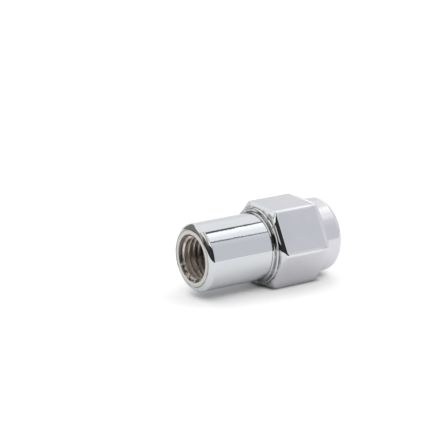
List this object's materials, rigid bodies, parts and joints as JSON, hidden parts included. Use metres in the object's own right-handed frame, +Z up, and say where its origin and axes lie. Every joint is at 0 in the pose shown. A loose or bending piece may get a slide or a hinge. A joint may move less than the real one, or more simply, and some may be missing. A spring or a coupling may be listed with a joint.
{
  "type": "mag lug nut",
  "caption": "Closed-end shank-seat lug nut: round shank with a threaded bore, thin seat collar, wrenching hexagon and a low domed head, lying on a flat.",
  "frame": {"origin": "on the resting plane, under the middle of the nut's length", "axes": "+X along the nut's axis from the open mouth to the domed head, +Z up, +Y across the hexagon's corners"},
  "size_m": [0.0412, 0.0236, 0.0206],
  "materials": {
    "chrome": "polished chrome plate over steel, fine turning marks, plating thinner and darker in the bore"
  },
  "bodies": {
    "root": {"lug_nut": "chrome"}
  },
  "joints": []
}
